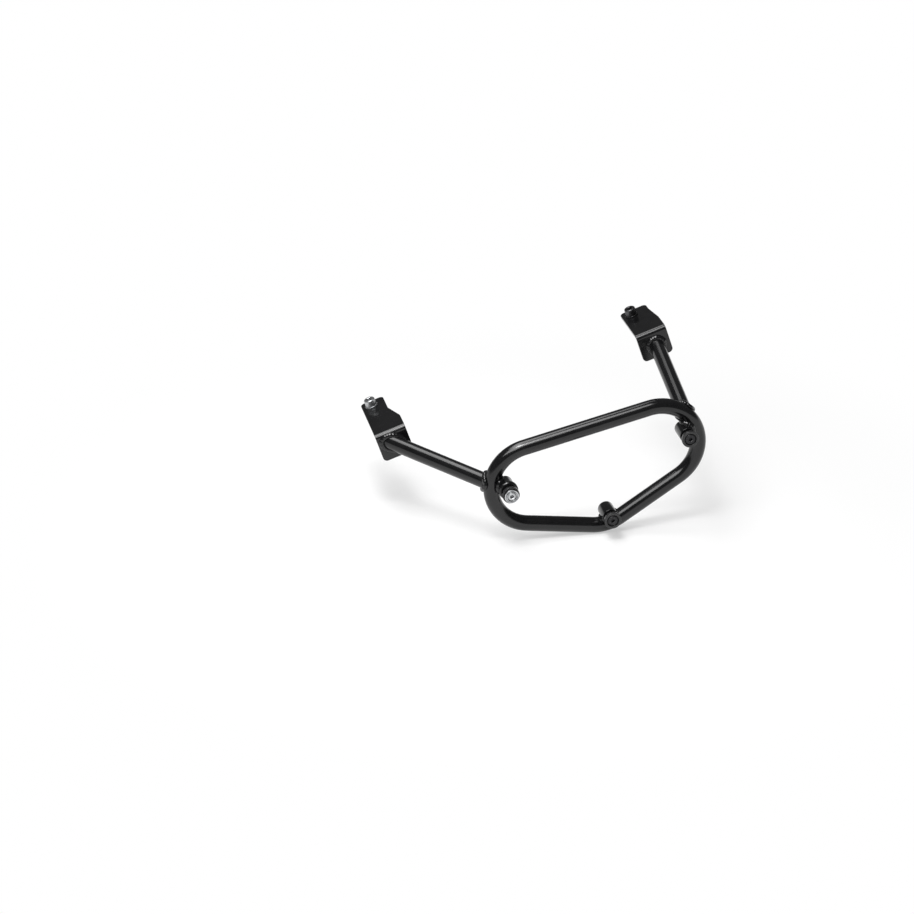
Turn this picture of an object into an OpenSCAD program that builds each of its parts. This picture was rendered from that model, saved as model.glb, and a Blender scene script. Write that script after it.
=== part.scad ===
// Pannier frame: the left-hand side carrier of a touring motorcycle, in welded steel tube.
// A closed loop of round tube stands upright beside the wheel. Two arms of the same tube carry it
// from two folded brackets, which bolt down on the subframe. Three bosses welded inside the loop
// carry the heads that a pannier hooks on.
//
// Millimetres. +X runs to the tail, +Y inboard and +Z up. The origin is the middle of the front
// bolt hole on the underside of the front bracket, where the bracket seats.

/* [Tube] */
// Outside diameter of the loop and arm tubes
tube_d = 18; // [16:0.5:20]
// Wall of the tubes
tube_wall = 2; // [1.5:0.25:2.5]
// Loss of the tube's radius in a bend, where bending draws it down
bend_thin = 0.05; // [0.04:0.01:0.1]
// Diameter of the vent holes that let gas out of the closed tubes while they are welded
vent_d = 6; // [4:1:8]

/* [Loop] */
// Distance of the loop's middle plane outboard of the two bolts
loop_out = 178; // [165:1:200]
// Centreline radius of the loop's three bends
bend_r = 48; // [46:1:52]
// Front bend's centre, behind the front bolt
front_bend_x = 150; // [140:1:160]
// Front bend's centre, above the front bolt (below it when negative)
front_bend_z = -30; // [-40:1:-20]
// Lower bend's centre, behind the front bolt
lower_bend_x = 226; // [216:1:236]
// Lower bend's centre, above the front bolt (below it when negative)
lower_bend_z = -40; // [-48:1:-34]
// Rear bend's centre, behind the front bolt
rear_bend_x = 294; // [286:1:304]
// Rear bend's centre, above the front bolt
rear_bend_z = 5; // [-4:1:14]

/* [Brackets] */
// Slope of the brackets' top leaves, rising to the tail, in degrees
leaf_tilt = 19; // [15:0.5:23]
// Rear bolt hole, behind the front one
rear_hole_x = 312; // [304:1:320]
// Rear bolt hole, above the front one
rear_hole_z = 88; // [80:1:96]
// Thickness of the brackets' sheet
plate_t = 4; // [3:0.5:5]
// Inner radius of the folds
fold_r = 2; // [1.5:0.5:4]
// Width of the brackets
bracket_w = 37; // [34:1:42]
// Distance from the bolt holes back to the brackets' middle line
hole_offset = 7; // [5:0.5:9]
// Depth of the hanging flanges below the leaves' top face
flange_h = 35; // [33:1:42]
// Distance from the front bolt hole out to its flange's outer face
front_leaf = 78; // [70:1:86]
// Distance from the rear bolt hole out to its flange's outer face
rear_leaf = 58; // [50:1:66]
// Distance from the bolt holes in to the leaves' inner end
leaf_tip = 14; // [12:1:18]
// Distance from a flange's outer face to the start of the leaf's slanted edge
slant_start = 28; // [22:1:32]
// Length of the slanted edge, measured inboard
slant_run = 30; // [24:1:34]
// Width that the slant takes off the front leaf's rear side
front_slant = 9; // [6:0.5:11]
// Width that the slant takes off the rear leaf's rear side
rear_slant = 4; // [2:0.5:8]
// Radius of the plates' corners
corner_r = 5; // [3:0.5:7]

/* [Arms] */
// Front arm's axis on its flange, behind the bolt hole
front_arm_along = 5; // [3:0.5:8]
// Front arm's axis on its flange, below the leaf's top face
front_arm_drop = 15.5; // [15:0.5:18]
// Place on the front bend where the front arm lands, in degrees up from the tailward side
front_arm_angle = 173; // [160:1:185]
// Rear arm's axis on its flange, behind the bolt hole
rear_arm_along = 8.5; // [5:0.5:10]
// Rear arm's axis on its flange, below the leaf's top face
rear_arm_drop = 20; // [17:0.5:21]
// Place on the rear bend where the rear arm lands, in degrees up from the tailward side
rear_arm_angle = 49; // [42:1:58]

/* [Bosses] */
// Outside diameter of the bosses
boss_d = 18; // [16:0.5:20]
// Length of the bosses inboard of the loop's middle plane
boss_in = 4; // [2:0.5:7]
// Length of the bosses outboard of the loop's middle plane
boss_out = 19; // [18:0.5:22]
// Diameter of the collar that the front boss ends in
collar_d = 22; // [20:0.5:24]
// Length of the front boss's collar
collar_t = 5; // [3:0.5:5.5]
// Cut on the outboard edge of the front boss's collar
collar_cut = 1.5; // [0.5:0.25:2]
// Front boss's place around the front bend, in degrees up from the tailward side
front_boss_angle = 174; // [165:1:185]
// Lower boss's place around the lower bend, in degrees up from the tailward side
lower_boss_angle = -71; // [-78:1:-64]
// Rear boss's place around the rear bend, in degrees up from the tailward side
rear_boss_angle = 30; // [22:1:38]
// Distance from the tube's centreline in to the front boss's axis
front_boss_inset = 16; // [15:0.25:16.5]
// Distance from the tube's centreline in to the lower boss's axis
lower_boss_inset = 16; // [15:0.25:16.5]
// Distance from the tube's centreline in to the rear boss's axis, where the boss is notched deeper
rear_boss_inset = 13.5; // [12.5:0.25:16]

/* [Heads] */
// Diameter of the heads that the pannier hooks on
head_d = 19.5; // [18.5:0.5:21]
// Thickness of the heads' flange
head_t = 4; // [3.5:0.25:5]
// Diameter of the neck behind a head
neck_d = 12; // [11:0.5:13]
// Length of the neck, which is the slot for the pannier's hook
neck_len = 7; // [5:0.5:9]
// Depth of the recess in a head for its screw
recess_depth = 3; // [2.5:0.1:3.2]
// Gap between a screw's head and the wall of its recess
recess_gap = 0.8; // [0.4:0.1:1]
// Thread diameter of the heads' screws
screw_d = 6; // [5:1:6]
// Head diameter of the screws in the lower and rear heads
screw_head_d = 12.2; // [11:0.1:12.6]
// Head height of the screws in the lower and rear heads
screw_head_h = 2.8; // [2:0.1:3]
// Width across flats of the screws' sockets
screw_hex = 4; // [3:0.5:4]
// Depth of the screws' sockets
screw_hex_depth = 1.8; // [1:0.1:1.8]
// Length of screw inside a boss
screw_grip = 13; // [9:1:16]

/* [Lock head] */
// Diameter of the front head's bright lock bush
lock_d = 16; // [15.5:0.1:16.4]
// Distance that the lock bush stands out of its head
lock_proud = 4; // [2:0.5:6]
// Height of the step around the lock bush's face
lock_step = 0.8; // [0.4:0.1:1.2]
// Width of the step around the lock bush's face
lock_step_w = 1.5; // [1:0.1:2]
// Head diameter of the lock screw
lock_screw_head_d = 10; // [9:0.25:10.5]
// Head height of the lock screw
lock_screw_head_h = 4; // [3:0.25:5]
// Depth of the lock screw's head below the bush's face
lock_screw_sink = 0.5; // [0:0.1:1]

/* [Bolts] */
// Thread diameter of the bracket bolts
bolt_d = 8; // [6:1:8]
// Loss of a bracket bolt's diameter between its head and its thread
bolt_waist_loss = 0.8; // [0.5:0.1:1]
// Head diameter of the bracket bolts
bolt_head_d = 13; // [11:0.5:14]
// Head height of the bracket bolts
bolt_head_h = 8; // [6:0.5:9]
// Width across flats of the bolts' sockets
bolt_hex = 6; // [5:0.5:6]
// Depth of the bolts' sockets
bolt_hex_depth = 4; // [3:0.5:5]
// Length of bolt below the bracket
bolt_free = 22; // [16:1:30]
// Outside diameter of the washers
washer_d = 15; // [14:0.5:18]
// Thickness of the washers
washer_t = 1.6; // [1:0.1:2.5]

/* [Welds] */
// Leg of the weld fillets
weld_leg = 3.5; // [2.5:0.25:4.5]

/* [Clearances] */
// Added to a bolt's diameter for its hole in a bracket
hole_clear = 0.5; // [0.2:0.1:1]
// Added to a screw's or bolt's diameter for its hole in a washer or head
ring_clear = 0.4; // [0.2:0.1:0.6]
// Added to a screw's diameter for its threaded hole
thread_clear = 0.1; // [0.05:0.05:0.2]
// Added to the lock bush's diameter for its recess
bush_clear = 0.2; // [0.1:0.1:0.4]

/* [Hidden] */

$fn = 96;
tube_r = tube_d / 2;
bore_r = tube_r - tube_wall;
boss_r = boss_d / 2;
collar_r = collar_d / 2;
bend_lap = 0.5;
over = 1;
reach = 2 * loop_out;
chamfer = 0.6;
drill_room = 2;
thread_start = 0.1;

front_hole = [0, 0, 0];
rear_hole = [rear_hole_x, 0, rear_hole_z];

// The loop in its own plane: x to the tail, y up, z outboard. Bend centres run front, lower, rear.
bends = [[front_bend_x, front_bend_z], [lower_bend_x, lower_bend_z], [rear_bend_x, rear_bend_z]];
FRONT = 0;
LOWER = 1;
REAR = 2;

// Place of each head along its boss, measured outboard from the loop's plane
neck_end = boss_out + neck_len;
head_face = neck_end + head_t;

function after(i) = (i + 1) % 3;
function before(i) = (i + 2) % 3;
function heading(i) = let (v = bends[after(i)] - bends[i]) atan2(v.y, v.x);
function run(i) = norm(bends[after(i)] - bends[i]);
function turn(i) = (heading(i) - heading(before(i)) + 360) % 360;
function ring(i, r, angle) = bends[i] + r * [cos(angle), sin(angle)];
function in_world(p, out) = [p.x, -loop_out - out, p.y];
function on_bracket(hole, along, up, y) = [
    hole.x + along * cos(leaf_tilt) - up * sin(leaf_tilt),
    y,
    hole.z + along * sin(leaf_tilt) + up * cos(leaf_tilt),
];

front_arm_foot = on_bracket(front_hole, front_arm_along, plate_t - front_arm_drop, -front_leaf);
rear_arm_foot = on_bracket(rear_hole, rear_arm_along, plate_t - rear_arm_drop, -rear_leaf);
front_arm_land = in_world(ring(FRONT, bend_r, front_arm_angle), 0);
rear_arm_land = in_world(ring(REAR, bend_r, rear_arm_angle), 0);

front_boss_at = ring(FRONT, bend_r - front_boss_inset, front_boss_angle);
lower_boss_at = ring(LOWER, bend_r - lower_boss_inset, lower_boss_angle);
rear_boss_at = ring(REAR, bend_r - rear_boss_inset, rear_boss_angle);

// Colours
module powder_coat() { color("#1c1c1f") children(); }
module black_plastic() { color("#27272a") children(); }
module bright_steel() { color("#c3c6ca") children(); }
module dark_steel() { color("#55585d") children(); }

// Puts the loop's plane upright, beside the wheel
module in_loop_plane() { translate([0, -loop_out, 0]) rotate([90, 0, 0]) children(); }

// A round bar between two points, longer at either end by extra
module bar(a, b, r, extra_a = 0, extra_b = 0) {
    v = b - a;
    translate(a)
        rotate([0, acos(v.z / norm(v)), atan2(v.y, v.x)])
            translate([0, 0, -extra_a]) cylinder(r = r, h = norm(v) + extra_a + extra_b);
}

// One straight of the loop, from bend i to the next. It laps both bends, which are a little thinner.
module loop_straight(i, r) {
    translate(bends[i])
        rotate(heading(i))
            translate([-bend_lap, -bend_r, 0])
                rotate([0, 90, 0]) cylinder(r = r, h = run(i) + 2 * bend_lap);
}
module loop_bend(i, r) {
    translate(bends[i])
        rotate(heading(before(i)) - 90)
            rotate_extrude(angle = turn(i)) translate([bend_r, 0]) circle(r - bend_thin);
}
module loop_bar(r) {
    in_loop_plane()
        for (i = [FRONT, LOWER, REAR]) {
            loop_straight(i, r);
            loop_bend(i, r);
        }
}

// The part of a vent hole that leads from an arm's bore into the loop
module vent(foot, land) {
    v = (foot - land) / norm(foot - land);
    bar(land, land + v * (tube_r + over), vent_d / 2);
}

module loop_tube() {
    powder_coat()
        difference() {
            loop_bar(tube_r);
            loop_bar(bore_r);
            vent(front_arm_foot, front_arm_land);
            vent(rear_arm_foot, rear_arm_land);
        }
}

// Everything inboard of a flange's outer face
module inboard_of(foot) {
    translate([foot.x - reach / 2, foot.y, foot.z - reach / 2]) cube(reach);
}

// An arm, cut flat on its flange and notched round the loop's bend i
module arm(foot, land, i) {
    powder_coat()
        difference() {
            bar(foot, land, tube_r, 3 * tube_r);
            bar(foot, land, bore_r, 4 * tube_r, over);
            inboard_of(foot);
            in_loop_plane() loop_bend(i, tube_r);
        }
}
module front_arm_tube() { arm(front_arm_foot, front_arm_land, FRONT); }
module rear_arm_tube() { arm(rear_arm_foot, rear_arm_land, REAR); }

// The weld round an arm's end, one leg wide and one leg high on the flange
module bracket_weld(foot, land) {
    powder_coat()
        difference() {
            bar(foot, land, tube_r + weld_leg, 4 * tube_r);
            inboard_of(foot);
            translate([0, -weld_leg - reach, 0]) inboard_of(foot);
            bar(foot, land, tube_r, 5 * tube_r, over);
        }
}
module front_arm_bracket_weld() { bracket_weld(front_arm_foot, front_arm_land); }
module rear_arm_bracket_weld() { bracket_weld(rear_arm_foot, rear_arm_land); }

// The weld where an arm lands on the loop: the room within one leg of both tubes
module loop_weld(foot, land, i) {
    powder_coat()
        difference() {
            intersection() {
                bar(foot, land, tube_r + weld_leg, 0, -weld_leg);
                in_loop_plane() loop_bend(i, tube_r + weld_leg);
            }
            bar(foot, land, tube_r, over, over);
            in_loop_plane() loop_bend(i, tube_r);
        }
}
module front_arm_loop_weld() { loop_weld(front_arm_foot, front_arm_land, FRONT); }
module rear_arm_loop_weld() { loop_weld(rear_arm_foot, rear_arm_land, REAR); }

// Cuts the square corner at a point down to a round one. toward gives the sides that stay.
module round_off(at, toward, depth) {
    translate([at.x, at.y, -over])
        scale([toward.x, toward.y, 1])
            difference() {
                translate([-over, -over, 0]) cube([corner_r + over, corner_r + over, depth + 2 * over]);
                translate([corner_r, corner_r, -over]) cylinder(r = corner_r, h = depth + 4 * over);
            }
}

// A folded bracket in its own frame: x back along the leaf, y inboard, z up off the leaf.
// Its origin is the bolt hole on the leaf's underside.
module bracket(hole, leaf, slant, arm_along, arm_drop) {
    left = hole_offset - bracket_w / 2;
    right = hole_offset + bracket_w / 2;
    outer_fold = fold_r + plate_t;
    flange_foot = plate_t - flange_h;
    powder_coat()
        translate(hole) rotate([0, -leaf_tilt, 0])
            difference() {
                translate([left, 0, 0]) rotate([90, 0, 90])
                    linear_extrude(bracket_w) fold_section(leaf, outer_fold, flange_foot);
                cylinder(d = bolt_d + hole_clear, h = 3 * plate_t, center = true);
                translate([arm_along, -leaf + plate_t / 2, plate_t - arm_drop])
                    rotate([90, 0, 0]) cylinder(d = vent_d, h = 2 * plate_t, center = true);
                translate([0, 0, -over]) linear_extrude(plate_t + 2 * over)
                    polygon([
                        [right, slant_start - leaf],
                        [right - slant, slant_start + slant_run - leaf],
                        [right - slant, leaf_tip + over],
                        [right + over, leaf_tip + over],
                        [right + over, slant_start - leaf],
                    ]);
                round_off([left, leaf_tip], [1, -1], plate_t);
                round_off([right - slant, leaf_tip], [-1, -1], plate_t);
                translate([0, plate_t - leaf, 0]) rotate([90, 0, 0]) {
                    round_off([left, flange_foot], [1, 1], plate_t);
                    round_off([right, flange_foot], [-1, 1], plate_t);
                }
            }
}

// The sheet's section across the fold: x inboard, y up off the leaf
module fold_section(leaf, outer_fold, flange_foot) {
    bend_y = plate_t - outer_fold;
    translate([outer_fold - leaf, 0]) square([leaf - outer_fold + leaf_tip, plate_t]);
    translate([-leaf, flange_foot]) square([plate_t, bend_y - flange_foot]);
    intersection() {
        translate([outer_fold - leaf, bend_y])
            difference() {
                circle(outer_fold);
                circle(fold_r);
            }
        translate([-leaf, bend_y]) square(outer_fold);
    }
}
module front_bracket() { bracket(front_hole, front_leaf, front_slant, front_arm_along, front_arm_drop); }
module rear_bracket() { bracket(rear_hole, rear_leaf, rear_slant, rear_arm_along, rear_arm_drop); }

// Places what turns about a boss's axis: z runs outboard from the loop's plane
module on_boss(at) { in_loop_plane() translate(at) children(); }

module boss_bar(r) { translate([0, 0, -boss_in]) cylinder(r = r, h = boss_in + boss_out); }

// What is cut from a boss: the threaded hole for its screw and the notch round the loop's tube
module boss_cuts(at) {
    on_boss(at)
        translate([0, 0, boss_out - screw_grip - drill_room])
            cylinder(d = screw_d + thread_clear, h = screw_grip + drill_room + over);
    loop_bar(tube_r);
}
module boss(at) {
    powder_coat()
        difference() {
            on_boss(at) boss_bar(boss_r);
            boss_cuts(at);
        }
}

// The front boss ends in a collar behind its head
module front_boss() {
    foot = boss_out - collar_t;
    powder_coat()
        difference() {
            on_boss(front_boss_at)
                rotate_extrude() polygon([
                    [0, -boss_in], [boss_r, -boss_in], [boss_r, foot], [collar_r, foot],
                    [collar_r, boss_out - collar_cut], [collar_r - collar_cut, boss_out], [0, boss_out],
                ]);
            boss_cuts(front_boss_at);
        }
}
module lower_boss() { boss(lower_boss_at); }
module rear_boss() { boss(rear_boss_at); }

module boss_weld(at) {
    powder_coat()
        difference() {
            intersection() {
                on_boss(at) boss_bar(boss_r + weld_leg);
                loop_bar(tube_r + weld_leg);
            }
            on_boss(at) translate([0, 0, -boss_in - over]) cylinder(r = boss_r, h = boss_in + boss_out + 2 * over);
            loop_bar(tube_r);
        }
}
module front_boss_weld() { boss_weld(front_boss_at); }
module lower_boss_weld() { boss_weld(lower_boss_at); }

// The rear boss's weld, which stops at the rear arm's tube
module rear_boss_weld() {
    difference() {
        boss_weld(rear_boss_at);
        bar(rear_arm_foot, rear_arm_land, tube_r);
    }
}

// A head turned in one piece with its neck. seat is the diameter of the recess in its face.
module head(at, seat) {
    black_plastic()
        on_boss(at)
            difference() {
                rotate_extrude() polygon([
                    [0, boss_out], [neck_d / 2, boss_out], [neck_d / 2, neck_end],
                    [head_d / 2 - chamfer, neck_end], [head_d / 2, neck_end + chamfer],
                    [head_d / 2, head_face - chamfer], [head_d / 2 - chamfer, head_face], [0, head_face],
                ]);
                translate([0, 0, boss_out - over]) cylinder(d = screw_d + ring_clear, h = head_face);
                translate([0, 0, head_face - recess_depth]) cylinder(d = seat, h = recess_depth + over);
            }
}
module lower_head() { head(lower_boss_at, screw_head_d + 2 * recess_gap); }
module rear_head() { head(rear_boss_at, screw_head_d + 2 * recess_gap); }
module lock_head() { head(front_boss_at, lock_d + bush_clear); }

// A socket screw whose head rests at height seat and whose point is screw_grip inside the boss
module socket_screw(at, seat, d, h) {
    tip = boss_out - screw_grip;
    on_boss(at)
        difference() {
            rotate_extrude() polygon([
                [0, tip], [screw_d / 2 - chamfer, tip], [screw_d / 2, tip + chamfer], [screw_d / 2, seat],
                [d / 2, seat], [d / 2, seat + h - chamfer], [d / 2 - chamfer, seat + h], [0, seat + h],
            ]);
            translate([0, 0, seat + h - screw_hex_depth])
                cylinder(d = screw_hex / cos(30), h = screw_hex_depth + over, $fn = 6);
        }
}
module lower_head_screw() { color("#232326") head_screw(lower_boss_at); }
module rear_head_screw() { color("#232326") head_screw(rear_boss_at); }
module head_screw(at) { socket_screw(at, head_face - recess_depth, screw_head_d, screw_head_h); }

// The bright bush of the lock head, with a stepped face and a recess for its screw
lock_face = head_face + lock_proud;
lock_seat = lock_face - lock_screw_sink - lock_screw_head_h;
module lock_bush() {
    r = lock_d / 2;
    bright_steel()
        on_boss(front_boss_at)
            difference() {
                rotate_extrude() polygon([
                    [0, head_face - recess_depth], [r, head_face - recess_depth],
                    [r, lock_face - lock_step - chamfer / 2], [r - chamfer / 2, lock_face - lock_step],
                    [r - lock_step_w, lock_face - lock_step], [r - lock_step_w, lock_face], [0, lock_face],
                ]);
                translate([0, 0, boss_out]) cylinder(d = screw_d + ring_clear, h = lock_face);
                translate([0, 0, lock_seat]) cylinder(d = lock_screw_head_d + ring_clear, h = lock_face);
            }
}
module lock_screw() {
    bright_steel() socket_screw(front_boss_at, lock_seat, lock_screw_head_d, lock_screw_head_h);
}

// Places what turns about a bracket's bolt: z runs up off the leaf from its underside
module on_bolt(hole) { translate(hole) rotate([0, -leaf_tilt, 0]) children(); }

// A bolt whose thread starts just below the bracket, with a thinner plain shank above it
module bolt(hole) {
    under = plate_t + washer_t;
    top = under + bolt_head_h;
    r = bolt_head_d / 2;
    thread_r = bolt_d / 2;
    waist_r = thread_r - bolt_waist_loss / 2;
    on_bolt(hole)
        difference() {
            rotate_extrude() polygon([
                [0, -bolt_free], [thread_r - 2 * chamfer, -bolt_free], [thread_r, 2 * chamfer - bolt_free],
                [thread_r, -thread_start], [waist_r, -thread_start], [waist_r, under],
                [r, under], [r, top - 2 * chamfer], [r - 2 * chamfer, top], [0, top],
            ]);
            translate([0, 0, top - bolt_hex_depth])
                cylinder(d = bolt_hex / cos(30), h = bolt_hex_depth + over, $fn = 6);
        }
}
module front_bolt() { bright_steel() bolt(front_hole); }
module rear_bolt() { dark_steel() bolt(rear_hole); }

module washer(hole) {
    on_bolt(hole)
        translate([0, 0, plate_t])
            difference() {
                cylinder(d = washer_d, h = washer_t);
                translate([0, 0, -over]) cylinder(d = bolt_d + ring_clear, h = washer_t + 2 * over);
            }
}
module front_bolt_washer() { bright_steel() washer(front_hole); }
module rear_bolt_washer() { dark_steel() washer(rear_hole); }

loop_tube();
front_arm_tube();
rear_arm_tube();
front_bracket();
rear_bracket();
front_arm_bracket_weld();
rear_arm_bracket_weld();
front_arm_loop_weld();
rear_arm_loop_weld();
front_boss();
lower_boss();
rear_boss();
front_boss_weld();
lower_boss_weld();
rear_boss_weld();
lower_head();
lower_head_screw();
rear_head();
rear_head_screw();
lock_head();
lock_bush();
lock_screw();
front_bolt();
front_bolt_washer();
rear_bolt();
rear_bolt_washer();
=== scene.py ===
"""Looks of the left-hand pannier frame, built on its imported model.

Lengths are in metres in the row's frame: +X to the tail, +Y inboard, +Z up, with the origin at the
front bolt hole. The tubes, weld beads, bosses, heads, screws, bolts and washers are surfaces worked
out as whole arrays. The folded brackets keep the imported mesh, with their edges rounded.
"""

import math

import bmesh
import bpy
import numpy as np
from mathutils import Matrix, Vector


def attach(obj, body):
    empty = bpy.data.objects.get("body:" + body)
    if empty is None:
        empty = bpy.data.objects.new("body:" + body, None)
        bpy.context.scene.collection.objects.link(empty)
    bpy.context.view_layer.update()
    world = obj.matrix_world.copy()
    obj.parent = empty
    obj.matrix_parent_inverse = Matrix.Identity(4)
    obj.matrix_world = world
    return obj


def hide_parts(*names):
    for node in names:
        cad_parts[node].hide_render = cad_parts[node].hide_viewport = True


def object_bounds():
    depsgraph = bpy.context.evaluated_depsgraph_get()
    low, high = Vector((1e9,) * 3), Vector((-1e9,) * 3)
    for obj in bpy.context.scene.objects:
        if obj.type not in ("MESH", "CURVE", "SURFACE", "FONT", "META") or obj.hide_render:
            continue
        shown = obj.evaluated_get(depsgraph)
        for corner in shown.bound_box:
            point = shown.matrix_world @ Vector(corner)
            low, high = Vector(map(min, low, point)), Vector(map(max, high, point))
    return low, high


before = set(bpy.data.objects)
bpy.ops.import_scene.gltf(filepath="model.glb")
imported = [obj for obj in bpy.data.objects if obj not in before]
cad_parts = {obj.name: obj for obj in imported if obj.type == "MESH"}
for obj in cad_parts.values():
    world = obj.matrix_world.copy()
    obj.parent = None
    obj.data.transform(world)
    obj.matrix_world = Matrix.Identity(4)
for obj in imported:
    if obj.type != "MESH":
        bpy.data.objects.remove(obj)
packed_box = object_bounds()

MM = 0.001

# Tube and loop
TUBE_R = 9 * MM
BEND_TUBE_R = 8.95 * MM
LOOP_OUT = 178 * MM
BEND_R = 48 * MM
BEND_CENTRES = np.array([[150, -30], [226, -40], [294, 5]]) * MM
FRONT, LOWER, REAR = 0, 1, 2

# Brackets and arms
LEAF_TILT = math.radians(19)
PLATE = 4 * MM
FRONT_HOLE = np.array([0.0, 0.0, 0.0])
REAR_HOLE = np.array([312, 0, 88]) * MM
FRONT_ARM = {
    "hole": FRONT_HOLE,
    "along": 5 * MM,
    "drop": 15.5 * MM,
    "leaf": 78 * MM,
    "bend": FRONT,
    "angle": 173,
}
REAR_ARM = {
    "hole": REAR_HOLE,
    "along": 8.5 * MM,
    "drop": 20 * MM,
    "leaf": 58 * MM,
    "bend": REAR,
    "angle": 49,
}

# Bosses and heads, with their places measured outboard from the loop's plane
BOSS_R = 9 * MM
BOSS_IN = 4 * MM
BOSS_OUT = 19 * MM
COLLAR_R = 11 * MM
COLLAR_LONG = 5 * MM
COLLAR_CUT = 1.5 * MM
NECK_R = 6 * MM
HEAD_R = 9.75 * MM
FRONT_BOSS = {"bend": FRONT, "angle": 174, "inset": 16 * MM}
LOWER_BOSS = {"bend": LOWER, "angle": -71, "inset": 16 * MM}
REAR_BOSS = {"bend": REAR, "angle": 30, "inset": 13.5 * MM}
NECK_END = BOSS_OUT + 7 * MM
HEAD_FACE = NECK_END + 4 * MM
HEAD_SEAT = HEAD_FACE - 3 * MM
HEAD_RECESS_R = 6.9 * MM
BUSH_RECESS_R = 8.1 * MM
BUSH_R = 8 * MM
BUSH_FACE = HEAD_FACE + 4 * MM
BUSH_SEAT = BUSH_FACE - 4.5 * MM
SCREW_TIP = BOSS_OUT - 13 * MM
CLEAR_HOLE_R = 3.2 * MM
TAPPED_HOLE_R = 3.05 * MM
TAPPED_HOLE_END = BOSS_OUT - 15 * MM

# Bracket bolts and washers, with their places measured up from the leaf's underside
WASHER_R = 7.5 * MM
WASHER_HOLE_R = 4.2 * MM
WASHER_TOP = PLATE + 1.6 * MM
BOLT_TIP = -22 * MM

# Photograph's camera, in the row's frame
CAMERA_AT = (-0.5110, -2.8651, 1.2856)
CAMERA_RIGHT = (0.978, -0.2088, 0.0)
CAMERA_UP = (0.0878, 0.4111, 0.9073)
CAMERA_LENS = 107.17

# Place on the plan that the lamps face and the floor's shadow lies around
MIDDLE = (0.17, -0.1)


def unit(v):
    """Each vector divided by its own length."""
    return v / np.linalg.norm(v, axis=-1, keepdims=True)


def in_row(flat, out):
    """A point of the loop's own plane, and its distance outboard of it, in the row's frame."""
    return np.stack([flat[..., 0], -LOOP_OUT - out, flat[..., 1]], axis=-1)


def around(angle):
    """The direction at an angle in the loop's plane, up from the tailward side."""
    return np.stack([np.cos(angle), np.sin(angle)], axis=-1)


# Meshes


def new_piece(name, points, faces, material, node, crisp=40.0):
    """An object from points and faces, shaded smooth apart from edges sharper than crisp degrees."""
    mesh = bpy.data.meshes.new(name)
    mesh.from_pydata(points.tolist(), [], faces)
    mesh.validate()
    mesh.update()
    mesh.shade_smooth()
    mesh.set_sharp_from_angle(angle=math.radians(crisp))
    mesh.materials.append(material)
    piece = bpy.data.objects.new(name, mesh)
    bpy.context.scene.collection.objects.link(piece)
    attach(piece, "root")
    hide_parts(node)
    return piece


def grid_faces(rows, columns, loop_rows):
    """Quads between neighbouring rows of a grid whose columns close into a ring."""
    last = rows if loop_rows else rows - 1
    i, j = np.meshgrid(np.arange(last), np.arange(columns), indexing="ij")
    below = (i + 1) % rows
    beside = (j + 1) % columns
    this, after = i * columns, below * columns
    quads = np.stack([this + j, this + beside, after + beside, after + j], axis=-1)
    return quads.reshape(-1, 4).tolist()


def ring_piece(name, grid, material, node, loop_rows=False, crisp=40.0):
    """A surface of rings. Open ends close on their own middles, with a fan at each end.

    The grid holds one ring of points a row, and each ring turns so that faces look outwards.
    """
    rows, columns = grid.shape[:2]
    points = grid.reshape(-1, 3)
    faces = grid_faces(rows, columns, loop_rows)
    if not loop_rows:
        points = np.vstack([points, grid[0].mean(axis=0), grid[-1].mean(axis=0)])
        first, end = rows * columns, rows * columns + 1
        tail = (rows - 1) * columns
        faces += [[first, (j + 1) % columns, j] for j in range(columns)]
        faces += [[end, tail + j, tail + (j + 1) % columns] for j in range(columns)]
    return new_piece(name, points, faces, material, node, crisp)


# Tubes


def loop_path():
    """Points once round the loop's centreline, with the outward direction and the tube's radius at each.

    Each bend is an arc about its centre, from the heading it comes in on to the heading it leaves on,
    both less a right angle. Each straight joins the end of one arc to the start of the next, and the
    radius eases from the straight's to the bend's over a few millimetres.
    """
    arc_steps, straight_steps = 72, 24
    step = np.roll(BEND_CENTRES, -1, axis=0) - BEND_CENTRES
    heading = np.arctan2(step[:, 1], step[:, 0])
    places, outwards, radii = [], [], []
    for i in (FRONT, LOWER, REAR):
        turn = (heading[i] - heading[i - 1]) % (2 * math.pi)
        angle = heading[i] - math.pi / 2 - turn * (1 - np.linspace(0, 1, arc_steps))
        arc = BEND_CENTRES[i] + BEND_R * around(angle)
        share = np.linspace(0, 1, straight_steps + 2)[1:-1, None]
        straight = arc[-1] + share * step[i]
        ease = np.clip(np.minimum(share, 1 - share)[:, 0] * np.linalg.norm(step[i]) / (4 * MM), 0, 1)
        places += [arc, straight]
        outwards += [around(angle), np.tile(around(angle[-1]), (straight_steps, 1))]
        radii += [np.full(arc_steps, BEND_TUBE_R), BEND_TUBE_R + (TUBE_R - BEND_TUBE_R) * ease]
    return np.vstack(places), np.vstack(outwards), np.concatenate(radii)


def loop_tube():
    """A circle carried round the loop's centreline, with its zero angle outwards in the loop's plane."""
    sides = 96
    place, outward, radius = loop_path()
    angle = np.linspace(0, 2 * math.pi, sides, endpoint=False)
    flat = place[:, None] + radius[:, None, None] * np.cos(angle)[None, :, None] * outward[:, None]
    out = radius[:, None] * np.sin(angle)[None, :]
    return ring_piece("loop_tube_coated", in_row(flat, out), COATING, "loop_tube", loop_rows=True)


def arm_line(arm):
    """The arm's axis: its start on the flange, its end on the loop's centreline, and its direction."""
    tilt_along = np.array([math.cos(LEAF_TILT), 0, math.sin(LEAF_TILT)])
    tilt_up = np.array([-math.sin(LEAF_TILT), 0, math.cos(LEAF_TILT)])
    foot = arm["hole"] + arm["along"] * tilt_along + (PLATE - arm["drop"]) * tilt_up
    foot[1] = -arm["leaf"]
    land = in_row(BEND_CENTRES[arm["bend"]] + BEND_R * around(math.radians(arm["angle"])), 0)
    return foot, land, unit(land - foot)


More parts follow.
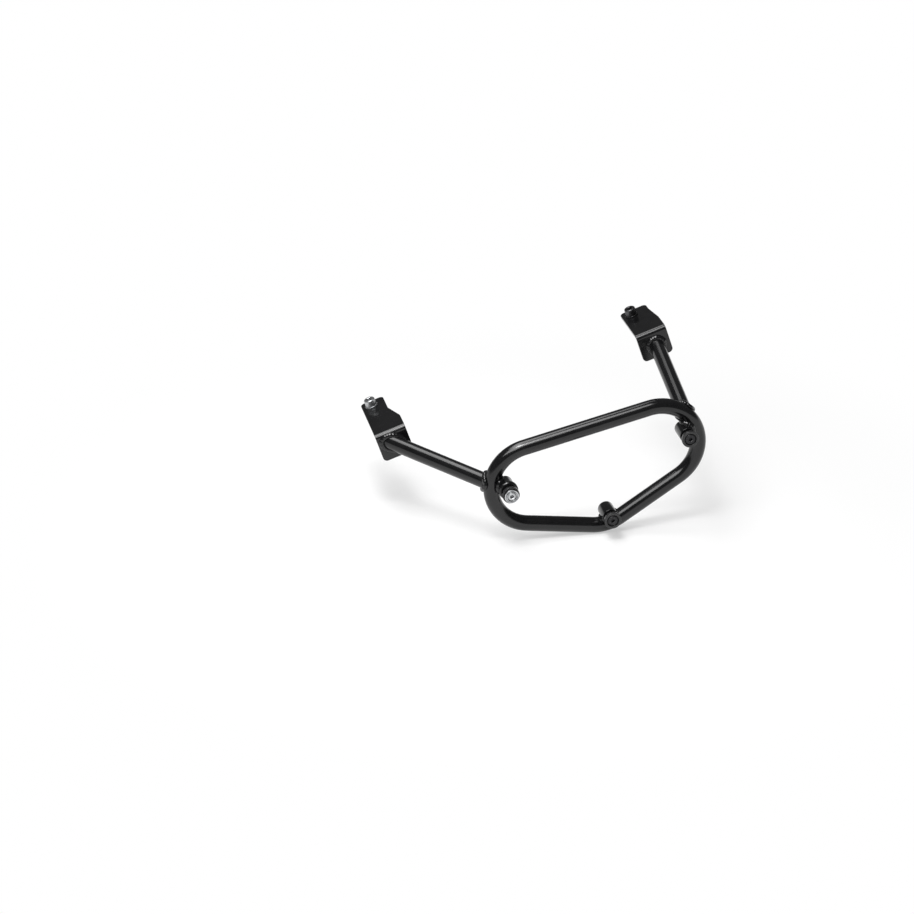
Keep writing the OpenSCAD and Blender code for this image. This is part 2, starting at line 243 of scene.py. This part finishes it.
def about_axis(direction, sides):
    """Directions all round an axis, evenly spaced, each square to it."""
    first = unit(np.cross(direction, [0, 0, 1]))
    second = np.cross(direction, first)
    angle = np.linspace(0, 2 * math.pi, sides, endpoint=False)[:, None]
    return np.cos(angle) * first + np.sin(angle) * second


def off_bend(points, bend):
    """Distance from a bend's centreline, and the direction away from it, for each point."""
    flat = points[..., [0, 2]] - BEND_CENTRES[bend]
    out = -LOOP_OUT - points[..., 1]
    reach = np.linalg.norm(flat, axis=-1)
    across = reach - BEND_R
    away = np.stack([flat[..., 0] / reach * across, -out, flat[..., 1] / reach * across], axis=-1)
    return np.hypot(across, out), unit(away)


def meet_bend(start, direction, bend, radius):
    """Where lines meet a bend of the tube: each point steps on by its distance from it until it is nil."""
    travelled = np.zeros(len(start))
    for _ in range(300):
        distance, _ = off_bend(start + travelled[:, None] * direction, bend)
        travelled += distance - radius
    return start + travelled[:, None] * direction


def arm_tube(name, arm, node):
    """A circle carried along the arm's axis, from a ring on the flange to a ring in the loop's tube."""
    sides, rows = 96, 40
    foot, _, direction = arm_line(arm)
    radial = about_axis(direction, sides)
    start = foot + TUBE_R * radial
    start = start - direction * (start[:, 1:2] - foot[1]) / direction[1]
    end = meet_bend(foot + 0.94 * TUBE_R * radial, direction, arm["bend"], BEND_TUBE_R)
    end = foot + TUBE_R * radial + direction * ((end - foot) @ direction + 0.4 * MM)[:, None]
    share = np.linspace(0, 1, rows)[:, None, None]
    grid = start + share * (end - start)
    return ring_piece(name, grid[::-1], COATING, node)


# Weld beads


def bead(name, place, off_one, off_other, node, closed, seed):
    """A flattened round carried along the crease between two pieces, with the ripples of a hand-laid weld.

    At each place the section's short way points midway between the two pieces' outward directions.
    Its size swells in scallops one pitch long, bowed back at their middles, and drifts slowly along.
    """
    half_wide, half_high, pitch = 3.0 * MM, 2.2 * MM, 3.6 * MM
    sides = 40
    draw = np.random.default_rng(seed)
    ahead = np.roll(place, -1, axis=0) - np.roll(place, 1, axis=0)
    if not closed:
        ahead[0], ahead[-1] = place[1] - place[0], place[-1] - place[-2]
    along = unit(ahead)
    high = unit(off_one + off_other)
    high = unit(high - along * np.sum(high * along, axis=1, keepdims=True))
    wide = np.cross(along, high)
    gaps = np.linalg.norm(np.diff(place, axis=0, append=place[:1]), axis=1)
    travel = np.concatenate([[0], np.cumsum(gaps)[:-1]])
    total = gaps.sum()
    scallops = max(round(total / pitch), 1)
    angle = np.linspace(0, 2 * math.pi, sides, endpoint=False)
    phase = scallops * travel[:, None] / total - 0.35 * np.cos(angle)[None, :]
    scallop = np.abs(np.sin(math.pi * phase))
    drift = np.zeros(len(place))
    for turns in (2, 3, 5, 7):
        drift += draw.uniform(0.03, 0.09) * np.sin(2 * math.pi * (turns * travel / total + draw.uniform()))
    size = (0.93 + 0.1 * scallop) * (1 + drift[:, None])
    if not closed:
        share = np.linspace(-1, 1, len(place))[:, None]
        size = size * np.sqrt(np.clip(1 - share**12, 0.02, 1))
    section = np.cos(angle)[None, :, None] * half_high * high[:, None] + (
        np.sin(angle)[None, :, None] * half_wide * wide[:, None]
    )
    grid = place[:, None] + size[:, :, None] * section
    return ring_piece(name, grid[:, ::-1], COATING, node, loop_rows=closed, crisp=75.0)


CREASE_GAP = 1.1 * MM


def arm_bracket_bead(name, arm, node, seed):
    """The bead round an arm's foot: the crease of the arm's round with the flange's flat face."""
    steps = 420
    foot, _, direction = arm_line(arm)
    radial = about_axis(direction, steps)
    place = foot + (TUBE_R + CREASE_GAP) * radial
    place = place + direction * (foot[1] - CREASE_GAP - place[:, 1:2]) / direction[1]
    off_flange = np.tile([0.0, -1.0, 0.0], (steps, 1))
    return bead(name, place, radial, off_flange, node, True, seed)


def arm_loop_bead(name, arm, node, seed):
    """The bead round an arm's other end: the crease of its round with the loop's bend."""
    steps = 420
    foot, _, direction = arm_line(arm)
    radial = about_axis(direction, steps)
    start = foot + (TUBE_R + CREASE_GAP) * radial
    place = meet_bend(start, direction, arm["bend"], TUBE_R + 1.15 * CREASE_GAP)
    _, off_loop = off_bend(place, arm["bend"])
    return bead(name, place, radial, off_loop, node, True, seed)


def boss_centre(boss):
    """The boss's axis in the loop's plane."""
    return BEND_CENTRES[boss["bend"]] + (BEND_R - boss["inset"]) * around(math.radians(boss["angle"]))


def boss_bead(name, boss, node, seed):
    """The bead over a boss's outboard side: the crease of its round with the loop's bend.

    At a height off the loop's plane the bend's inner side is a circle about the bend's centre, and the
    boss is a circle about its own. The two cross at an angle that the cosine rule gives, on both sides.
    """
    steps = 260
    tube, round_r = BEND_TUBE_R + CREASE_GAP, BOSS_R + CREASE_GAP
    middle = BEND_R - boss["inset"]
    top = math.sqrt(tube**2 - (boss["inset"] - round_r) ** 2)
    low = -math.asin((BOSS_IN - 0.6 * MM) / top)
    sweep = np.linspace(low, math.pi - low, steps)
    height = top * np.sin(sweep)
    reach = BEND_R - np.sqrt(tube**2 - height**2)
    opening = np.arccos(np.clip((reach**2 + middle**2 - round_r**2) / (2 * reach * middle), -1, 1))
    angle = math.radians(boss["angle"]) + np.sign(np.cos(sweep)) * opening
    flat = BEND_CENTRES[boss["bend"]] + reach[:, None] * around(angle)
    place = in_row(flat, height)
    _, off_loop = off_bend(place, boss["bend"])
    off_boss = unit(place - in_row(np.tile(boss_centre(boss), (steps, 1)), height))
    return bead(name, place, off_boss, off_loop, node, False, seed)


# Turned pieces


def rounded(corners, bevel, steps=5):
    """A closed outline with each corner cut back by bevel along both edges, and a curve between the cuts.

    The curve is the quadratic one whose middle control point is the corner itself.
    """
    corners = np.array(corners, dtype=float)
    share = np.linspace(0, 1, steps)[:, None]
    outline = []
    for before, corner, after in zip(np.roll(corners, 1, axis=0), corners, np.roll(corners, -1, axis=0)):
        room_in, room_out = np.linalg.norm(before - corner), np.linalg.norm(after - corner)
        start = corner + (before - corner) / room_in * min(bevel, room_in / 2.2)
        end = corner + (after - corner) / room_out * min(bevel, room_out / 2.2)
        outline.append((1 - share) ** 2 * start + 2 * share * (1 - share) * corner + share**2 * end)
    return np.vstack(outline)


def boss_place(boss):
    """Where a boss's turned pieces stand: its axis's point in the loop's plane, and the way outboard."""
    return in_row(boss_centre(boss), 0), np.array([0.0, -1.0, 0.0])


def bolt_place(hole):
    """Where a bracket's turned pieces stand: the hole in the leaf's underside, and the way up off it."""
    return hole, np.array([-math.sin(LEAF_TILT), 0, math.cos(LEAF_TILT)])


def turned_grid(place, radius, height, sides):
    """Points all round an axis at each radius and height. A radius may vary round its own ring."""
    start, axis = place
    radial = about_axis(axis, sides)
    radius = radius[:, None] if radius.ndim == 1 else radius
    return start + height[:, None, None] * axis + radius[..., None] * radial[None]


def turned_ring(name, place, corners, bevel, material, node, sides=96):
    """A ring with a rounded section, turned about its axis."""
    outline = rounded(corners, bevel)
    grid = turned_grid(place, outline[:, 0], outline[:, 1], sides)
    return ring_piece(name, grid, material, node, loop_rows=True, crisp=60.0)


def hexagon(across, sides):
    """The radius of a hexagon of that width across its flats, all round."""
    angle = np.linspace(0, 2 * math.pi, sides, endpoint=False)
    return across / 2 / np.cos((angle + math.pi / 6) % (math.pi / 3) - math.pi / 6)


def fastener(name, place, seat, tip, size, material, node):
    """A socket head screw as one surface of rings, from its point to the bottom of its socket.

    The thread's radius falls from the crest by a depth that follows a flattened triangle wave of height
    less the share of a turn. The head's side has fine straight ridges, and the socket is a hexagon.
    """
    sides = 216
    shank, pitch = size["thread"] / 2, size["pitch"]
    head, tall = size["head"] / 2, size["height"]
    turn = np.linspace(0, 1, sides, endpoint=False)
    ring = np.ones(sides)
    top = seat + tall
    edge = size["edge"]

    thread_top = min(seat - 1.5 * pitch, tip + size["threaded"])
    rows = int((thread_top - tip) / pitch * 10)
    level = np.linspace(tip, thread_top, rows)
    wave = np.abs(((level[:, None] / pitch - turn[None, :]) % 1) - 0.5) * 2
    groove = 0.58 * pitch * np.clip(1.25 * wave - 0.12, 0, 1)
    run_out = np.clip((thread_top - level) / (2 * pitch), 0, 1)[:, None]
    point = np.clip(shank - 1.1 * pitch + (level - tip), 0, shank)[:, None]
    threaded = np.minimum(shank - groove * run_out, point)

    ridges = size["ridge"] * np.abs((turn * size["ridges"]) % 1 * 2 - 1)
    across = hexagon(size["hex"], sides)
    rim = 1.09
    outline = [
        (size["waist"] / 2 * ring, thread_top + 0.05 * MM),
        (size["waist"] / 2 * ring, seat),
        ((head - 0.2 * MM) * ring, seat),
        (head * ring, seat + 0.2 * MM),
        (head * ring, seat + 0.1 * tall),
        (head - ridges, seat + 0.16 * tall),
        (head - ridges, top - 1.5 * edge),
        (head * ring, top - 1.2 * edge),
        ((head - 0.3 * edge) * ring, top - 0.5 * edge),
        ((head - edge) * ring, top),
        ((0.5 * head + 0.55 * size["hex"] / 2) * ring, top),
        (rim * across, top),
        (across, top - 0.25 * MM),
        (across, top - size["deep"]),
        (0.1 * across, top - size["deep"] - 0.3 * MM),
    ]
    radius = np.vstack([threaded] + [row[0] for row in outline])
    height = np.concatenate([level, [row[1] for row in outline]])
    grid = turned_grid(place, radius, height, sides)
    return ring_piece(name, grid, material, node, crisp=32.0)


def head_ring(name, boss, recess, node):
    """A hook-on head with its neck, rounded at its edges, with a recess of that radius in its face."""
    corners = [
        (CLEAR_HOLE_R, BOSS_OUT),
        (NECK_R, BOSS_OUT),
        (NECK_R, NECK_END),
        (HEAD_R, NECK_END),
        (HEAD_R, HEAD_FACE),
        (recess, HEAD_FACE),
        (recess, HEAD_SEAT),
        (CLEAR_HOLE_R, HEAD_SEAT),
    ]
    return turned_ring(name, boss_place(boss), corners, 0.55 * MM, HEAD_PLASTIC, node)


def boss_body(name, boss, node, collared=False):
    """A boss turned from bar, from the bottom of its screw's hole over its outside to its inboard face.

    The front one swells to a collar behind its head. Its tube side lies inside the loop's tube.
    """
    edge = [(BOSS_R, BOSS_OUT)]
    if collared:
        edge = [
            (COLLAR_R - COLLAR_CUT, BOSS_OUT),
            (COLLAR_R, BOSS_OUT - COLLAR_CUT),
            (COLLAR_R, BOSS_OUT - COLLAR_LONG),
            (BOSS_R, BOSS_OUT - COLLAR_LONG),
        ]
    hole = [(TAPPED_HOLE_R, TAPPED_HOLE_END), (TAPPED_HOLE_R, BOSS_OUT)]
    corners = [*hole, *edge, (BOSS_R, -BOSS_IN), (0.5 * MM, -BOSS_IN)]
    steps = 5
    outline = rounded(corners, 0.6 * MM, steps)[steps:-steps]
    outline = np.vstack([corners[0], outline, corners[-1]])
    grid = turned_grid(boss_place(boss), outline[:, 0], outline[:, 1], 96)
    return ring_piece(name, grid[::-1], COATING, node)


def lock_bush(boss):
    """The bright bush of the front head: a step, a groove and a land round the recess of its screw."""
    step = BUSH_FACE - 0.8 * MM
    groove = BUSH_FACE - 2.8 * MM
    rim, land, recess = 6.8 * MM, 5.9 * MM, 5.2 * MM
    corners = [
        (CLEAR_HOLE_R, HEAD_SEAT),
        (BUSH_R, HEAD_SEAT),
        (BUSH_R, step),
        (rim, step),
        (rim, groove),
        (land, groove),
        (land, BUSH_FACE),
        (recess, BUSH_FACE),
        (recess, BUSH_SEAT),
        (CLEAR_HOLE_R, BUSH_SEAT),
    ]
    return turned_ring("lock_bush_turned", boss_place(boss), corners, 0.3 * MM, BRIGHT_STEEL, "lock_bush")


def washer(name, hole, material, node):
    """A flat washer with eased edges on a bracket's leaf."""
    corners = [
        (WASHER_HOLE_R, PLATE),
        (WASHER_R, PLATE),
        (WASHER_R, WASHER_TOP),
        (WASHER_HOLE_R, WASHER_TOP),
    ]
    return turned_ring(name, bolt_place(hole), corners, 0.25 * MM, material, node)


def bracket(name, node):
    """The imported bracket, its flat faces joined up again and every edge rounded, as a thick coat does."""
    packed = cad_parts[node]
    shape = bmesh.new()
    shape.from_mesh(packed.data)
    bmesh.ops.remove_doubles(shape, verts=shape.verts, dist=0.002 * MM)
    bmesh.ops.dissolve_limit(
        shape, angle_limit=math.radians(1), verts=shape.verts, edges=shape.edges, delimit=set()
    )
    mesh = bpy.data.meshes.new(name)
    shape.to_mesh(mesh)
    shape.free()
    mesh.transform(packed.matrix_world)
    mesh.shade_smooth()
    mesh.materials.clear()
    mesh.materials.append(COATING)
    piece = bpy.data.objects.new(name, mesh)
    bpy.context.scene.collection.objects.link(piece)
    bevel = piece.modifiers.new("coated edges", "BEVEL")
    bevel.width = 0.7 * MM
    bevel.segments = 4
    bevel.limit_method = "ANGLE"
    bevel.angle_limit = math.radians(35)
    even = piece.modifiers.new("normals by area", "WEIGHTED_NORMAL")
    even.weight = 100
    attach(piece, "root")
    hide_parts(node)
    return piece


# Materials


class Finish:
    """A material being wired: short calls for its nodes, on object coordinates."""

    def __init__(self, name, roughness, metallic=0.0):
        self.material = bpy.data.materials.new(name)
        self.material.use_nodes = True
        self.nodes = self.material.node_tree.nodes
        self.links = self.material.node_tree.links
        self.shader = self.nodes["Principled BSDF"]
        self.shader.inputs["Roughness"].default_value = roughness
        self.shader.inputs["Metallic"].default_value = metallic
        self.place = self.nodes.new("ShaderNodeTexCoord").outputs["Object"]

    def noise(self, scale, detail=2.0, rough=0.5):
        """Noise from 0 to 1 that has about so many cells a metre."""
        node = self.nodes.new("ShaderNodeTexNoise")
        node.inputs["Scale"].default_value = scale
        node.inputs["Detail"].default_value = detail
        node.inputs["Roughness"].default_value = rough
        self.links.new(self.place, node.inputs["Vector"])
        return node.outputs["Fac"]

    def spread(self, value, low, high, to_low, to_high):
        """The value with its low and high brought to new ones, and held between them."""
        node = self.nodes.new("ShaderNodeMapRange")
        ends = {"From Min": low, "From Max": high, "To Min": to_low, "To Max": to_high}
        for socket, number in ends.items():
            node.inputs[socket].default_value = number
        self.links.new(value, node.inputs["Value"])
        return node.outputs["Result"]

    def blend(self, share, one, other):
        """One colour turning to the other as the share goes from 0 to 1."""
        node = self.nodes.new("ShaderNodeMix")
        node.data_type = "RGBA"
        self.links.new(share, node.inputs["Factor"])
        for socket, colour in ((node.inputs[6], one), (node.inputs[7], other)):
            if isinstance(colour, tuple):
                socket.default_value = (*colour, 1)
            else:
                self.links.new(colour, socket)
        return node.outputs[2]

    def bump(self, height, depth, strength, under=None):
        """A bumped normal, laid over the one under it."""
        node = self.nodes.new("ShaderNodeBump")
        node.inputs["Distance"].default_value = depth
        node.inputs["Strength"].default_value = strength
        self.links.new(height, node.inputs["Height"])
        if under is not None:
            self.links.new(under, node.inputs["Normal"])
        return node.outputs["Normal"]

    def wire(self, **sockets):
        """The finished material, with each named socket of its shader linked."""
        for name, value in sockets.items():
            self.links.new(value, self.shader.inputs[name.replace("_", " ")])
        return self.material


def powder_coating():
    """Gloss black powder coat: fine orange peel, slow ripples, faint dust and scuffs in the gloss."""
    coat = Finish("gloss black powder coat", 0.17)
    coat.shader.inputs["IOR"].default_value = 1.5
    tone = coat.spread(coat.noise(60, 3), 0.35, 0.65, 0, 1)
    specks = coat.spread(coat.noise(1500, 1), 0.74, 0.80, 0, 0.35)
    colour = coat.blend(tone, (0.004, 0.004, 0.0044), (0.0062, 0.0062, 0.0067))
    colour = coat.blend(specks, colour, (0.05, 0.05, 0.052))
    gloss = coat.spread(coat.noise(95, 3, 0.5), 0.3, 0.7, 0.145, 0.165)
    peel = coat.bump(coat.noise(620, 2), 0.05 * MM, 0.012)
    slow = coat.bump(coat.noise(130, 1), 0.1 * MM, 0.03, peel)
    return coat.wire(Base_Color=colour, Roughness=gloss, Normal=slow)


def head_plastic():
    """Satin black moulded nylon: fine grain, with a faint grey bloom."""
    nylon = Finish("satin black nylon", 0.4)
    tone = nylon.spread(nylon.noise(180, 3), 0.3, 0.7, 0, 1)
    colour = nylon.blend(tone, (0.014, 0.014, 0.0145), (0.024, 0.024, 0.025))
    gloss = nylon.spread(nylon.noise(400, 3), 0.3, 0.7, 0.22, 0.34)
    grain = nylon.bump(nylon.noise(2200, 2), 0.03 * MM, 0.3)
    return nylon.wire(Base_Color=colour, Roughness=gloss, Normal=grain)


def screw_black():
    """Black oxide on steel: dark, a little metallic, rubbed paler in patches."""
    oxide = Finish("black oxide steel", 0.38, 0.6)
    rub = oxide.spread(oxide.noise(700, 4, 0.6), 0.52, 0.7, 0, 0.6)
    colour = oxide.blend(rub, (0.022, 0.022, 0.024), (0.085, 0.083, 0.08))
    gloss = oxide.spread(oxide.noise(500, 3), 0.3, 0.7, 0.3, 0.48)
    grain = oxide.bump(oxide.noise(3000, 2), 0.02 * MM, 0.3)
    return oxide.wire(Base_Color=colour, Roughness=gloss, Normal=grain)


def steel(name, light, dark, gloss_low, gloss_high, grain_scale):
    """Bare or plated steel: faint cloudy tone, fine scratches and grain."""
    metal = Finish(name, gloss_low, 1.0)
    cloud = metal.spread(metal.noise(260, 4, 0.6), 0.3, 0.7, 0, 1)
    colour = metal.blend(cloud, dark, light)
    spots = metal.spread(metal.noise(1300, 2), 0.68, 0.78, 0, 0.5)
    colour = metal.blend(spots, colour, tuple(0.45 * part for part in dark))
    gloss = metal.spread(metal.noise(600, 3), 0.3, 0.7, gloss_low, gloss_high)
    grain = metal.bump(metal.noise(grain_scale, 3, 0.6), 0.02 * MM, 0.35)
    return metal.wire(Base_Color=colour, Roughness=gloss, Normal=grain)


COATING = powder_coating()
HEAD_PLASTIC = head_plastic()
BLACK_STEEL = screw_black()
BRIGHT_STEEL = steel("bright plated steel", (0.62, 0.63, 0.64), (0.4, 0.41, 0.42), 0.14, 0.26, 2600)
BOLT_STEEL = steel("zinc plated steel", (0.6, 0.61, 0.62), (0.42, 0.43, 0.44), 0.3, 0.42, 2600)
# Painted shade: the rear bolt and washer are the same zinc plated steel as the front ones, given this much
# darker colour to stand in for the shade they sit in.
SHADED_BOLT_STEEL = steel("zinc plated steel in painted shade", (0.12, 0.12, 0.124), (0.06, 0.06, 0.063), 0.26, 0.42, 2200)

M8 = {
    "thread": 8 * MM,
    "pitch": 1.25 * MM,
    "threaded": 21.9 * MM,
    "waist": 7.2 * MM,
    "head": 13 * MM,
    "height": 8 * MM,
    "edge": 0.9 * MM,
    "hex": 6 * MM,
    "deep": 4 * MM,
    "ridge": 0.06 * MM,
    "ridges": 54,
}
HEAD_SCREW = {
    "thread": 6 * MM,
    "pitch": 1.0 * MM,
    "threaded": 12 * MM,
    "waist": 6 * MM,
    "head": 12.2 * MM,
    "height": 2.8 * MM,
    "edge": 0.7 * MM,
    "hex": 4 * MM,
    "deep": 3 * MM,
    "ridge": 0.0,
    "ridges": 1,
}
LOCK_SCREW = {**HEAD_SCREW, "head": 9.7 * MM, "height": 4 * MM, "deep": 4.4 * MM}


def build_pieces():
    """Every shown piece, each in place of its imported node."""
    loop_tube()
    arm_tube("front_arm_coated", FRONT_ARM, "front_arm_tube")
    arm_tube("rear_arm_coated", REAR_ARM, "rear_arm_tube")
    bracket("front_bracket_coated", "front_bracket")
    bracket("rear_bracket_coated", "rear_bracket")
    arm_bracket_bead("front_arm_bracket_bead", FRONT_ARM, "front_arm_bracket_weld", 11)
    arm_bracket_bead("rear_arm_bracket_bead", REAR_ARM, "rear_arm_bracket_weld", 12)
    arm_loop_bead("front_arm_loop_bead", FRONT_ARM, "front_arm_loop_weld", 13)
    arm_loop_bead("rear_arm_loop_bead", REAR_ARM, "rear_arm_loop_weld", 14)
    bosses = (("front", FRONT_BOSS, 21), ("lower", LOWER_BOSS, 22), ("rear", REAR_BOSS, 23))
    for side, boss, seed in bosses:
        boss_body(side + "_boss_coated", boss, side + "_boss", collared=boss is FRONT_BOSS)
        boss_bead(side + "_boss_bead", boss, side + "_boss_weld", seed)
    for side, boss in (("lower", LOWER_BOSS), ("rear", REAR_BOSS)):
        head_ring(side + "_head_moulded", boss, HEAD_RECESS_R, side + "_head")
        screw = (side + "_head_screw_cut", boss_place(boss), HEAD_SEAT, SCREW_TIP)
        fastener(*screw, HEAD_SCREW, BLACK_STEEL, side + "_head_screw")
    head_ring("lock_head_moulded", FRONT_BOSS, BUSH_RECESS_R, "lock_head")
    lock_bush(FRONT_BOSS)
    lock = ("lock_screw_cut", boss_place(FRONT_BOSS), BUSH_SEAT, SCREW_TIP)
    fastener(*lock, LOCK_SCREW, BRIGHT_STEEL, "lock_screw")
    # The rear bolt and washer take the plated steel painted darker as shade.
    for side, hole, metal in (("front", FRONT_HOLE, BOLT_STEEL), ("rear", REAR_HOLE, SHADED_BOLT_STEEL)):
        washer(side + "_washer_turned", hole, metal, side + "_bolt_washer")
        fastener(side + "_bolt_cut", bolt_place(hole), WASHER_TOP, BOLT_TIP, M8, metal, side + "_bolt")


# Surroundings


def one_of(nodes, links, signs):
    """The greatest of several sockets, each of which is 0 or 1 or a share between them."""
    found = signs[0]
    for sign in signs[1:]:
        either = nodes.new("ShaderNodeMath")
        either.operation = "MAXIMUM"
        links.new(found, either.inputs[0])
        links.new(sign, either.inputs[1])
        found = either.outputs["Value"]
    return found


def pale_floor(level):
    """A wide pale floor that keeps the shadow near the frame and fades to white further out."""
    mesh = bpy.data.meshes.new("floor")
    half = 12.0
    corners = [(-half, -half, level), (half, -half, level), (half, half, level), (-half, half, level)]
    mesh.from_pydata(corners, [], [(0, 1, 2, 3)])
    material = bpy.data.materials.new("pale floor")
    material.use_nodes = True
    nodes, links = material.node_tree.nodes, material.node_tree.links
    matt = nodes["Principled BSDF"]
    matt.inputs["Base Color"].default_value = (0.9, 0.9, 0.9, 1)
    matt.inputs["Roughness"].default_value = 0.7
    matt.inputs["Specular IOR Level"].default_value = 0.0
    white = nodes.new("ShaderNodeEmission")
    white.inputs["Color"].default_value = (1, 1, 1, 1)
    ray = nodes.new("ShaderNodeLightPath").outputs
    seen = one_of(nodes, links, [ray["Is Camera Ray"], ray["Is Glossy Ray"], ray["Is Transmission Ray"]])
    place = nodes.new("ShaderNodeTexCoord")
    centred = nodes.new("ShaderNodeVectorMath")
    centred.operation = "SUBTRACT"
    centred.inputs[1].default_value = (*MIDDLE, level)
    links.new(place.outputs["Object"], centred.inputs[0])
    length = nodes.new("ShaderNodeVectorMath")
    length.operation = "LENGTH"
    links.new(centred.outputs["Vector"], length.inputs[0])
    fade = nodes.new("ShaderNodeMapRange")
    fade.interpolation_type = "SMOOTHSTEP"
    fade.inputs["From Min"].default_value = 0.18
    fade.inputs["From Max"].default_value = 0.6
    fade.inputs["To Min"].default_value = 0.5
    links.new(length.outputs["Value"], fade.inputs["Value"])
    both = nodes.new("ShaderNodeMath")
    both.operation = "MULTIPLY"
    links.new(seen, both.inputs[0])
    links.new(fade.outputs["Result"], both.inputs[1])
    mix = nodes.new("ShaderNodeMixShader")
    links.new(both.outputs["Value"], mix.inputs["Fac"])
    links.new(matt.outputs["BSDF"], mix.inputs[1])
    links.new(white.outputs["Emission"], mix.inputs[2])
    links.new(mix.outputs["Shader"], nodes["Material Output"].inputs["Surface"])
    mesh.materials.append(material)
    floor = bpy.data.objects.new("floor", mesh)
    bpy.context.scene.collection.objects.link(floor)


def grey_world():
    """A grey room that the camera sees as white, as reflections do where it meets the floor."""
    world = bpy.data.worlds.new("studio room")
    bpy.context.scene.world = world
    world.use_nodes = True
    nodes, links = world.node_tree.nodes, world.node_tree.links
    room = nodes["Background"]
    room.inputs["Color"].default_value = (1, 1, 1, 1)
    room.inputs["Strength"].default_value = 0.11
    white = nodes.new("ShaderNodeBackground")
    white.inputs["Color"].default_value = (1, 1, 1, 1)
    white.inputs["Strength"].default_value = 1.0
    ray = nodes.new("ShaderNodeLightPath").outputs
    height = nodes.new("ShaderNodeSeparateXYZ")
    links.new(nodes.new("ShaderNodeTexCoord").outputs["Generated"], height.inputs["Vector"])
    low = nodes.new("ShaderNodeMapRange")
    low.inputs["From Min"].default_value = 0.14
    low.inputs["From Max"].default_value = 0.02
    links.new(height.outputs["Z"], low.inputs["Value"])
    mirrored = nodes.new("ShaderNodeMath")
    mirrored.operation = "MULTIPLY"
    links.new(ray["Is Glossy Ray"], mirrored.inputs[0])
    links.new(low.outputs["Result"], mirrored.inputs[1])
    straight = [ray["Is Camera Ray"], ray["Is Transmission Ray"]]
    seen = one_of(nodes, links, [*straight, mirrored.outputs["Value"]])
    mix = nodes.new("ShaderNodeMixShader")
    links.new(seen, mix.inputs["Fac"])
    links.new(room.outputs["Background"], mix.inputs[1])
    links.new(white.outputs["Background"], mix.inputs[2])
    links.new(mix.outputs["Shader"], nodes["World Output"].inputs["Surface"])


def softbox(name, azimuth, elevation, distance, wide, tall, watts):
    """An area lamp that faces the middle of the frame. Azimuth 0 stands at -Y, and 90 at +X."""
    data = bpy.data.lights.new(name, "AREA")
    data.shape = "RECTANGLE"
    data.size, data.size_y, data.energy = wide, tall, watts
    lamp = bpy.data.objects.new(name, data)
    bpy.context.scene.collection.objects.link(lamp)
    a, e = math.radians(azimuth), math.radians(elevation)
    back = np.array([math.sin(a) * math.cos(e), -math.cos(a) * math.cos(e), math.sin(e)])
    middle = np.array([*MIDDLE, 0.0])
    right = unit(np.cross([0, 0, 1], back))
    up = np.cross(back, right)
    turn = Matrix(np.column_stack([right, up, back]).tolist()).to_4x4()
    lamp.matrix_world = Matrix.Translation((middle + distance * back).tolist()) @ turn


def studio(level):
    """Floor, room, four softboxes and the photograph's camera."""
    pale_floor(level)
    grey_world()
    softbox("key softbox", -40, 60, 1.7, 1.2, 1.3, 25)
    softbox("small softbox", -33, 63, 1.7, 0.35, 0.3, 8)
    softbox("top softbox", -122, 70, 1.7, 1.0, 0.7, 11)
    softbox("back softbox", -178, 63, 1.7, 0.8, 0.4, 1.8)
    data = bpy.data.cameras.new("camera")
    data.lens, data.sensor_width = CAMERA_LENS, 36
    camera = bpy.data.objects.new("camera", data)
    bpy.context.scene.collection.objects.link(camera)
    away = np.cross(CAMERA_RIGHT, CAMERA_UP)
    turn = Matrix(np.column_stack([CAMERA_RIGHT, CAMERA_UP, away]).tolist()).to_4x4()
    camera.matrix_world = Matrix.Translation(CAMERA_AT) @ turn
    bpy.context.scene.camera = camera
    bpy.context.scene.view_settings.view_transform = "Standard"


build_pieces()
studio(packed_box[0][2])
